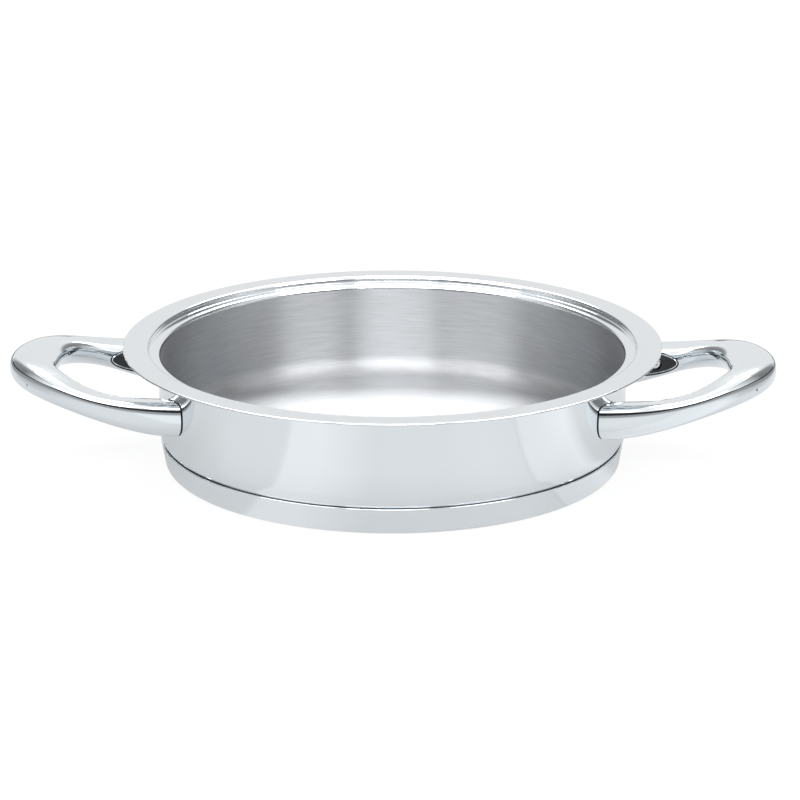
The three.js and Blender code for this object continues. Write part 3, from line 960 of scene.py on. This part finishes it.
class POT_OT_vessel(Operator):
    """Build the drawn bowl, polished outside and brushed inside."""

    bl_idname = "pot.vessel"
    bl_label = "Vessel"

    def execute(self, context):
        s = context.scene.pot.vessel
        floor = s.floor_height
        wall = s.wall_radius
        step = wall + s.seat_width
        rim = step + s.flange_width
        top = s.rim_height
        seat = top - s.seat_depth
        t = s.sheet
        corners = [
            (0, floor - t, 0, 0),
            (wall + t, floor - t, s.floor_corner + t, 0),
            (wall + t, seat - t, s.seat_nose - t, 0),
            (step + t, seat - t, s.seat_corner + t, 0),
            (step + t, top - t, s.flange_bend - t, 0),
            (rim, top - t, t * RIM_ROUNDING, 0),
            (rim, top, t * RIM_ROUNDING, 0),
            (step, top, s.flange_bend, 0),
            (step, seat, s.seat_corner, 0),
            (wall, seat, s.seat_nose, 0),
            (wall, floor, s.floor_corner, 1),
            (0, floor, 0, 1),
        ]
        obj = turned_piece("pot_vessel", corners, VESSEL_ARC_STEPS, revolve(), {
            "Segments": s.segments,
            "Material": polished_steel("polished_vessel_steel", s.steel, waviness=0.010),
            "Zone material": satin_steel("satin_vessel_steel", s.satin),
        })
        finish_piece(obj, ["vessel"])
        return {"FINISHED"}


class POT_OT_base(Operator):
    """Build the capsule of the base."""

    bl_idname = "pot.base"
    bl_label = "Base"

    def execute(self, context):
        v = context.scene.pot.vessel
        s = context.scene.pot.base
        below = v.floor_height + v.floor_corner - s.height
        reach = v.floor_corner + v.sheet + s.gap
        slant = s.sheet / math.cos(s.taper)
        outer = v.wall_radius - v.floor_corner + math.sqrt(reach ** 2 - below ** 2) + slant
        lean = math.tan(s.taper)
        inner = outer - slant
        corners = [
            (0, 0, 0, 0),
            (outer - s.height * lean, 0, s.fillet, 0),
            (outer, s.height, s.edge, 0),
            (inner, s.height, s.edge, 0),
            (inner - (s.height - s.sheet) * lean, s.sheet, s.fillet - s.sheet, 0),
            (0, s.sheet, 0, 0),
        ]
        metal = polished_steel("polished_base_steel", v.steel, waviness=0.010)
        obj = turned_piece("pot_base_capsule", corners, BASE_ARC_STEPS, revolve(), {
            "Segments": v.segments,
            "Material": metal,
            "Zone material": metal,
        })
        finish_piece(obj, ["base_capsule"])
        return {"FINISHED"}


class POT_OT_handles(Operator):
    """Build both hollow loop handles with their windows and vents."""

    bl_idname = "pot.handles"
    bl_label = "Handles"

    def execute(self, context):
        pot = context.scene.pot
        s = pot.handle
        loop = Loop(pot)
        metal = polished_steel("polished_handle_steel", s.steel, waviness=0.006)
        ring = loop.rings(s.sides)
        share = np.linspace(1, -1, s.stations + 1)
        skins = []
        for inset in (0.0, s.wall):
            end = loop.run_at(ring, inset, loop.at_radius(loop.wall + s.joint))
            runs = share[:, None] * end
            skins.append(loop.point(runs, ring + 0 * runs, inset))
        rows, sides = skins[0].shape[:2]
        outer_faces = grid_faces(rows, sides)
        skin = mesh_from("loop_skin", skins[0].reshape(-1, 3), outer_faces)
        first = rows * sides
        faces = outer_faces + grid_faces(rows, sides, first, inward=True)
        for row, order in ((0, 1), (rows - 1, -1)):
            for j in range(sides):
                a = row * sides + j
                b = row * sides + (j + 1) % sides
                faces.append((a, first + a, first + b, b)[::order])
        points = np.concatenate([grid.reshape(-1, 3) for grid in skins])
        shell = link("right_handle_loop", mesh_from("right_handle_loop", points, faces, metal))
        cut_y = loop.middle_y(loop.screw_x)
        window = loop.bullet(0.0, WINDOW_STEPS, WINDOW_BACK)
        cutters = [prism("window", window, -cut_y, cut_y, metal)]
        for side in (1, -1):
            run = side * np.interp(s.vent_angle, loop.share_table[1], loop.share_table[0])
            mouth = loop.point(np.array(run), np.array(-s.vent_dip), 0.0)
            middle = loop.plan(np.array(side * s.vent_angle))[0]
            inside = np.array((*middle, loop.heights(middle[0])[0]))
            start, end = (inside + (mouth - inside) * part for part in VENT_SHARES)
            cutters.append(bar("vent", start, end, s.vent_diameter / 2, VENT_SIDES, metal))
        combine(shell, cutters, "DIFFERENCE")
        combine(shell, [self.bead(loop, way, metal) for way in (1, -1)], "UNION")
        follow_skin(shell.data, skin)
        bpy.data.meshes.remove(skin)
        left = turned_copy(shell, "left_handle_loop", Matrix.Rotation(math.pi, 4, "Z"))
        finish_piece(shell, ["right_handle_shell"])
        finish_piece(left, ["left_handle_shell"])
        return {"FINISHED"}

    def bead(self, loop, way, metal):
        """Trim ring inside the edge of the rear or front leg's window."""
        radius = loop.handle.bead / 2
        depth_at = face_depth(loop, loop.insert.recess)
        outline = loop.bullet(loop.handle.bead_inset, OUTLINE_STEPS, loop.root_x + BEAD_START)
        path = np.array([(x, depth_at(x, z), z) for x, z in outline])
        along = np.gradient(path, axis=0)
        aside = np.cross(along, (0, 1, 0))
        aside /= np.linalg.norm(aside, axis=1, keepdims=True)
        turn = np.arange(BEAD_SIDES) * math.tau / BEAD_SIDES
        ring = aside[:, None] * np.cos(turn)[:, None] + np.outer(np.sin(turn), (0, 1, 0))
        rows = path[:, None] + radius * ring
        return tube("bead", rows[::way] * (1, way, 1), metal)


class POT_OT_inserts(Operator):
    """Build the black insert of each leg: a plug, its face in the window and its collar at the wall."""

    bl_idname = "pot.inserts"
    bl_label = "Inserts"

    def execute(self, context):
        pot = context.scene.pot
        s = pot.insert
        f = pot.fastener
        loop = Loop(pot)
        plastic = black_phenolic("black_phenolic", s.colour)
        screw_z, tongue_y, seat_y = loop.screw_line()
        insert = self.plug(loop, plastic)
        collar = self.collar(loop, plastic)
        pad = self.pad(loop, plastic)
        combine(insert, [pad, collar], "UNION")
        bores = []
        for name, end_y, diameter, sides in (
            ("bore", seat_y, f.washer_diameter, BORE_SIDES),
            ("hole", tongue_y + s.strip, f.diameter, HOLE_SIDES),
        ):
            start = (loop.screw_x, 0, screw_z)
            end = (loop.screw_x, end_y, screw_z)
            bores.append(bar(name, start, end, diameter / 2 + s.fit, sides, plastic))
        combine(insert, bores, "DIFFERENCE")
        insert.data.set_sharp_from_angle(angle=math.radians(INSERT_CREASE))
        for leg in LEGS:
            piece = turned_copy(insert, f"{leg}_insert", LEG_MATRICES[leg])
            finish_piece(piece, [f"{leg}_insulator"])
        discard(insert)
        return {"FINISHED"}

    def plug(self, loop, plastic):
        """Part of the insert inside the leg."""
        s = loop.insert
        inset = loop.handle.wall + 2 * s.fit
        ring = loop.rings(PLUG_SIDES)
        wall_run = loop.run_at(ring, inset, loop.at_radius(loop.wall + s.fit))
        tip = loop.wall + s.reach + s.overrun
        tip_run = loop.run_at(ring, inset, lambda points: points[..., 0] < tip)
        share = np.linspace(0, 1, PLUG_ROWS)[:, None]
        runs = wall_run + (tip_run - wall_run) * share
        return tube("insert", loop.point(runs, ring + 0 * runs, inset), plastic)

    def collar(self, loop, plastic):
        """Thin plate between the leg's end and the wall."""
        s = loop.insert
        ring = loop.rings(FACE_SIDES)
        near = loop.wall + s.collar_gap
        limits = [loop.at_radius(radius) for radius in (near, near + s.collar)]
        runs = np.stack([loop.run_at(ring, s.collar_inset, limit) for limit in limits])
        return tube("collar", loop.point(runs, ring + 0 * runs, s.collar_inset), plastic)

    def pad(self, loop, plastic):
        """Face in the leg's window, with a rounded edge."""
        s = loop.insert
        depth_at = face_depth(loop, s.recess)

        def outline(clearance):
            points = loop.bullet(clearance, OUTLINE_STEPS, PAD_BACK)
            for end in (0, -1):
                for _ in range(PAD_BACK_TRIES):
                    y = depth_at(*points[end])
                    x = math.sqrt((loop.wall + clearance + PAD_CLEAR) ** 2 - y ** 2)
                    points[end] = (x, points[end][1] + (x - points[end][0]) * math.tan(s.slope))
            share = np.linspace(0, 1, PAD_BACK_STEPS)[1:-1, None]
            return np.concatenate((points, points[-1] + (points[0] - points[-1]) * share))

        edge = outline(s.window_gap)
        centre = edge.mean(axis=0)
        levels = [(edge, PAD_DEPTH), (edge, s.edge)]
        for turn in PAD_EDGE_TURNS:
            inset = s.edge * (1 - math.cos(math.radians(turn)))
            sink = s.edge * (1 - math.sin(math.radians(turn)))
            levels.append((outline(s.window_gap + inset), sink))
        last = levels[-1][0]
        for share in PAD_SHARES:
            levels.append((centre + (last - centre) * share, 0.0))
        rows = np.array([
            [(x, depth_at(x, z) + sink, z) for x, z in level]
            for level, sink in levels
        ])
        return tube("pad", rows, plastic)


class POT_OT_fasteners(Operator):
    """Set the socket screws and washers of the legs."""

    bl_idname = "pot.fasteners"
    bl_label = "Screws and washers"

    def execute(self, context):
        pot = context.scene.pot
        s = pot.fastener
        insert = pot.insert
        loop = Loop(pot)
        metal = plain_metal("bright_fastener_steel", s.steel, roughness=0.16)
        z, tongue_y, seat_y = loop.screw_line()
        head_y = seat_y - s.washer
        tip = head_y - (tongue_y + insert.strip / 2 + s.past_bracket)
        head = s.head_diameter / 2
        shank = s.diameter / 2
        top = s.head_height
        screw = [
            (0, tip, 0, 0),
            (shank, tip, SCREW_TIP_ROUNDING, 0),
            (shank, 0, SCREW_NECK_ROUNDING, 0),
            (head, 0, SCREW_SEAT_ROUNDING, 0),
            (head, top, s.head_bevel, 0),
            (0, top, 0, 0),
        ]
        socket = {"Socket": s.socket / 2, "Socket depth": s.socket_depth, "Socket top": top}
        bore = shank + insert.fit
        edge = s.washer_diameter / 2
        ring = [
            (bore, -s.washer / 2, 0, 0),
            (bore, -s.washer, WASHER_ROUNDING, 0),
            (edge, -s.washer, WASHER_ROUNDING, 0),
            (edge, 0, WASHER_ROUNDING, 0),
            (bore, 0, WASHER_ROUNDING, 0),
            (bore, -s.washer / 2, 0, 0),
        ]
        places = self.places(loop.screw_x, head_y, z)
        for name, corners, steps, cut, nodes in (
            ("leg_screws", screw, SCREW_ARC_STEPS, socket, [f"{leg}_screw" for leg in LEGS]),
            ("leg_washers", ring, WASHER_ARC_STEPS, NO_SOCKET, [f"{leg}_washer" for leg in LEGS]),
        ):
            obj = turned_piece(name, corners, steps, fasteners(), {
                "Segments": FASTENER_SEGMENTS,
                "Places": places,
                "Material": metal,
                **cut,
            })
            obj.data.set_sharp_from_angle(angle=math.radians(FASTENER_CREASE))
            finish_piece(obj, nodes)
        discard(places)
        return {"FINISHED"}

    def places(self, x, y, z):
        """Object with a point at each screw's seat and the way that its head faces."""
        points = []
        facing = []
        for leg in LEGS:
            points.append(LEG_MATRICES[leg] @ Vector((x, y, z)))
            facing.append(LEG_MATRICES[leg].to_3x3() @ Vector((0, -1, 0)))
        mesh = bpy.data.meshes.new("places")
        mesh.from_pydata(points, [], [])
        attribute = mesh.attributes.new("facing", "FLOAT_VECTOR", "POINT")
        attribute.data.foreach_set("vector", [value for way in facing for value in way])
        return link("places", mesh)


class POT_OT_hidden_parts(Operator):
    """Give the brackets and the core of the base their own metals."""

    bl_idname = "pot.hidden_parts"
    bl_label = "Brackets and core"

    def execute(self, context):
        bracket = plain_metal("bracket_steel", BRACKET_STEEL, roughness=0.32)
        core = plain_metal("core_aluminium", CORE_ALUMINIUM, roughness=0.45)
        for name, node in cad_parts.items():
            if name.endswith("_bracket"):
                self.paint(node, bracket)
            elif name == "heat_spreader":
                self.paint(node, core)
        return {"FINISHED"}

    def paint(self, node, material):
        """Replaces the materials of a node that stays."""
        node.data.materials.clear()
        node.data.materials.append(material)


# Stage: what metal sees of the room, as (place, grey) stops, with the table's painted reflection and
# shade, and the lights

TABLE_HALF = 6.0
# Painted reflection and shade: greys that the table glows with for shiny rays only, by turn round the
# pot and by reach from it
PAINTED_REFLECTION_BY_TURN = (
    (0.0, 0.80), (0.28, 0.60), (0.33, 0.68), (0.393, 0.70), (0.398, 0.86), (0.43, 0.87),
    (0.455, 0.80), (0.485, 0.70), (0.55, 0.70), (0.60, 0.74), (0.634, 0.72), (0.637, 0.66),
    (0.640, 0.80), (0.67, 0.84), (0.70, 0.92), (0.712, 0.80), (0.72, 0.68), (1.0, 0.80),
)
PAINTED_SHADE_BY_REACH = ((0.115, 0.98), (0.2, 1.0), (0.38, 1.0), (0.5, 0.06))
PAINTED_SHADE_SQUEEZE = 1.3
PAINTED_REFLECTION_TINT = (0.985, 1.0, 1.015, 1)
PAINTED_REFLECTION_STRENGTH = 0.95
PAINTED_REFLECTION_SHARE = 0.8
TABLE_WHITE_SHARE = 0.9
BAND_RADIUS = 4.0
BAND_STEPS = 51
BAND_TURN = 140.0
BAND_TOP = ((15, 35, 60, 75), (14.0, 13.5, 13.5, 5.0))
REAR_BY_HEIGHT = ((0.0, 0.86), (0.45, 0.88), (0.62, 1.0), (0.8, 1.0), (0.95, 0.8))
REAR_BY_SIDE = ((0.45, 1.0), (0.62, 0.34), (0.9, 0.25))
REAR_BLEND = 0.3
CEILING = ((0.72, 1.0), (0.84, 0.1))
DAYLIGHT = (0.97, 0.985, 1.0, 1)
DAYLIGHT_STRENGTH = 0.6
WHITE = (1, 1, 1, 1)
SOFTBOXES = {
    "overhead": {"place": (0.0, -0.1, 1.7), "width": 2.8, "depth": 2.0, "watts": 17.0},
    "front": {"place": (-0.03, -1.9, 1.4), "width": 1.5, "depth": 0.8, "watts": 23.0},
    "front_right": {"place": (1.44, -1.30, 1.25), "width": 1.2, "depth": 0.8, "watts": 12.0},
    "front_left": {"place": (-1.44, -1.30, 1.25), "width": 1.5, "depth": 0.8, "watts": 12.0},
    "rear": {"place": (0.0, 1.45, 1.75), "width": 2.2, "depth": 0.7, "watts": 33.0},
}


class POT_OT_stage(Operator):
    """Set the camera, the pale table and the soft light."""

    bl_idname = "pot.stage"
    bl_label = "Stage"

    def execute(self, context):
        scene = context.scene
        s = scene.pot.stage
        self.camera(scene, s)
        self.table(s)
        self.dark_band()
        self.softboxes(scene)
        self.world(scene)
        scene.view_settings.view_transform = "Standard"
        return {"FINISHED"}

    def camera(self, scene, s):
        """Camera of the main view."""
        back = Vector((
            math.sin(s.azimuth) * math.cos(s.elevation),
            -math.cos(s.azimuth) * math.cos(s.elevation),
            math.sin(s.elevation),
        ))
        right = Vector((math.cos(s.azimuth), math.sin(s.azimuth), 0))
        data = bpy.data.cameras.new("camera")
        data.lens = s.lens
        data.sensor_width = 36
        data.clip_start = 0.05
        data.clip_end = 100
        camera = bpy.data.objects.new("camera", data)
        camera.location = right * s.aim_right + Vector((0, 0, s.aim_height)) + back * s.distance
        camera.rotation_euler = (-back).to_track_quat("-Z", "Y").to_euler()
        scene.collection.objects.link(camera)
        scene.camera = camera

    def table(self, s):
        """White table with a faint shadow; to metal it glows with a painted reflection, in greys round
        the pot that darken next to it and far from it.
        """
        material = bpy.data.materials.new("pale_table")
        tree = empty_tree(material)
        seen, shiny = ray_kinds(tree)
        lit = add_node(tree, "ShaderNodeBsdfDiffuse", {"Color": (*s.floor, 1.0)})
        white = add_node(tree, "ShaderNodeEmission", {"Color": WHITE, "Strength": 1.0})
        place = add_node(tree, "ShaderNodeTexCoord").outputs["Object"]
        parts = split(tree, place)
        turn = maths(tree, "ARCTAN2", parts["X"], maths(tree, "MULTIPLY", parts["Y"], -1.0))
        share = maths(tree, "ADD", maths(tree, "DIVIDE", turn, math.tau), 0.5)
        away = vectors(tree, "LENGTH", {0: place}, "Value")
        aside = maths(tree, "MULTIPLY", maths(tree, "ABSOLUTE", parts["X"]), PAINTED_SHADE_SQUEEZE)
        reach = ramp(tree, maths(tree, "MAXIMUM", away, aside), PAINTED_SHADE_BY_REACH)
        level = times(tree, ramp(tree, share, PAINTED_REFLECTION_BY_TURN), reach)
        # Painted reflection and shade: the table glows in these greys for shiny rays
        painted_reflection = add_node(tree, "ShaderNodeEmission", {
            "Color": times(tree, level, PAINTED_REFLECTION_TINT),
            "Strength": PAINTED_REFLECTION_STRENGTH,
        })
        plain_share = maths(tree, "MULTIPLY", seen, TABLE_WHITE_SHARE)
        plain = mixed(tree, plain_share, lit.outputs[0], white.outputs[0])
        shader = mixed(tree, maths(tree, "MULTIPLY", shiny, PAINTED_REFLECTION_SHARE), plain, painted_reflection.outputs[0])
        output = add_node(tree, "ShaderNodeOutputMaterial")
        tree.links.new(shader, output.inputs["Surface"])
        corners = [(x * TABLE_HALF, y * TABLE_HALF, 0) for x, y in ((-1, -1), (1, -1), (1, 1), (-1, 1))]
        link("table", mesh_from("table", corners, [(0, 1, 2, 3)], material))

    def dark_band(self):
        """Dark sheet round the front and sides of the room, standing in for the room's unlit darkness
        as painted shade, which only metal sees in reflection.
        """
        turns = np.linspace(-BAND_TURN, BAND_TURN, BAND_STEPS)
        tops = BAND_RADIUS * np.tan(np.radians(np.interp(np.abs(turns), *BAND_TOP)))
        points = []
        for heights in (np.zeros(BAND_STEPS), tops):
            for way, height in zip(np.radians(turns), heights):
                points.append((BAND_RADIUS * math.sin(way), -BAND_RADIUS * math.cos(way), height))
        faces = [(i, i + 1, BAND_STEPS + 1 + i, BAND_STEPS + i) for i in range(BAND_STEPS - 1)]
        # Painted shade: a near-black sheet, hidden from the camera, that metal reflects as the dark
        # room
        material, tree, shader, place = new_material("dark_cloth")
        band_mottle = noise(tree, place, scale=40.0)
        dark_room_shade = tint(tree, band_mottle, (0.02, 0.021, 0.023), share=0.2)
        tree.links.new(dark_room_shade, shader.inputs["Base Color"])
        shader.inputs["Roughness"].default_value = 0.9
        band = link("dark_band", mesh_from("dark_band", points, faces, material))
        band.visible_camera = False
        band.visible_diffuse = False
        band.visible_shadow = False

    def softboxes(self, scene):
        """Large soft light overhead, with smaller ones high at the front and rear."""
        for name, box in SOFTBOXES.items():
            data = bpy.data.lights.new(name, "AREA")
            data.shape = "RECTANGLE"
            data.size = box["width"]
            data.size_y = box["depth"]
            data.energy = box["watts"]
            light = bpy.data.objects.new(name, data)
            light.location = box["place"]
            light.rotation_euler = Vector(box["place"]).to_track_quat("Z", "Y").to_euler()
            scene.collection.objects.link(light)

    def world(self, scene):
        """White surroundings, in which metal sees a room with darker rear sides and ceiling."""
        world = bpy.data.worlds.new("studio")
        tree = empty_tree(world)
        seen, shiny = ray_kinds(tree)
        parts = split(tree, add_node(tree, "ShaderNodeTexCoord").outputs["Generated"])
        sides = ramp(tree, maths(tree, "ABSOLUTE", parts["X"]), REAR_BY_SIDE)
        rear = times(tree, ramp(tree, parts["Z"], REAR_BY_HEIGHT), sides)
        behind = add_node(tree, "ShaderNodeMapRange", {
            "Value": parts["Y"],
            "From Min": -REAR_BLEND,
            "From Max": REAR_BLEND,
        })
        wall = add_node(tree, "ShaderNodeMixRGB", {
            "Fac": behind.outputs["Result"],
            "Color1": WHITE,
            "Color2": rear,
        })
        room = times(tree, wall.outputs["Color"], ramp(tree, parts["Z"], CEILING))
        light, white, metal = (
            add_node(tree, "ShaderNodeBackground", {"Color": shade, "Strength": strength}).outputs[0]
            for shade, strength in ((DAYLIGHT, DAYLIGHT_STRENGTH), (WHITE, 1.0), (room, 1.0))
        )
        shader = mixed(tree, shiny, mixed(tree, seen, light, white), metal)
        output = add_node(tree, "ShaderNodeOutputWorld")
        tree.links.new(shader, output.inputs["Surface"])
        scene.world = world


# Panel and add-on

BUILD_ORDER = ("vessel", "base", "handles", "inserts", "fasteners", "hidden_parts", "stage")


class POT_PT_panel(Panel):
    """Settings and build buttons of the pot."""

    bl_idname = "POT_PT_panel"
    bl_label = "Cooking pot"
    bl_space_type = "VIEW_3D"
    bl_region_type = "UI"
    bl_category = "Pot"

    def draw(self, context):
        pot = context.scene.pot
        for name in ("vessel", "base", "handle", "insert", "fastener", "stage"):
            group = getattr(pot, name)
            box = self.layout.box()
            box.label(text=name.capitalize())
            for key in group.__annotations__:
                box.prop(group, key)
        for name in BUILD_ORDER:
            self.layout.operator(f"pot.{name}")


CLASSES = (
    PotVesselSettings,
    PotBaseSettings,
    PotHandleSettings,
    PotInsertSettings,
    PotFastenerSettings,
    PotStageSettings,
    PotSettings,
    POT_OT_vessel,
    POT_OT_base,
    POT_OT_handles,
    POT_OT_inserts,
    POT_OT_fasteners,
    POT_OT_hidden_parts,
    POT_OT_stage,
    POT_PT_panel,
)


def register():
    """Adds the classes and the scene's settings."""
    for item in CLASSES:
        bpy.utils.register_class(item)
    bpy.types.Scene.pot = PointerProperty(
        type=PotSettings, name="Pot", description="Settings of the pot"
    )


def unregister():
    """Removes what register added."""
    del bpy.types.Scene.pot
    for item in reversed(CLASSES):
        bpy.utils.unregister_class(item)


def main():
    """Builds every piece and the stage."""
    register()
    for name in BUILD_ORDER:
        getattr(bpy.ops.pot, name)()
    bpy.context.view_layer.update()


if __name__ == "__main__":
    main()
